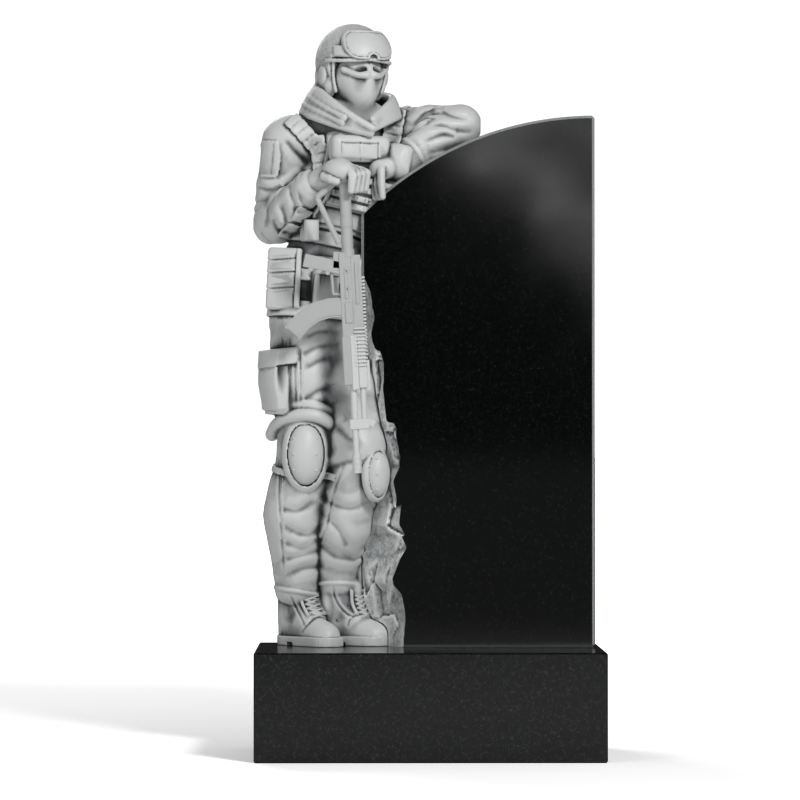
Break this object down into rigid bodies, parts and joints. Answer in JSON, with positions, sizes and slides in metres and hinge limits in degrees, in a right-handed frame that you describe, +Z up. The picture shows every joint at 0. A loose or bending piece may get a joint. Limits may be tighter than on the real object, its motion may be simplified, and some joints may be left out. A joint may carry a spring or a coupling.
{
  "type": "war memorial with a soldier figure and a stele",
  "caption": "Upright memorial: a carved soldier with a rifle leans on the arched top of a polished stele, and both stand on a rectangular plinth.",
  "frame": {"origin": "centre of the plinth's underside", "axes": "+Z up, -Y towards the viewer of the front, +X to that viewer's right"},
  "size_m": [1.0138, 0.6042, 2.1349],
  "materials": {
    "plinth": "polished black gabbro",
    "stele": "polished black gabbro, split rough at the lower left",
    "soldier": "carved and honed pale grey stone"
  },
  "bodies": {
    "root": {"plinth": "plinth", "stele": "stele", "soldier": "soldier"}
  },
  "joints": []
}
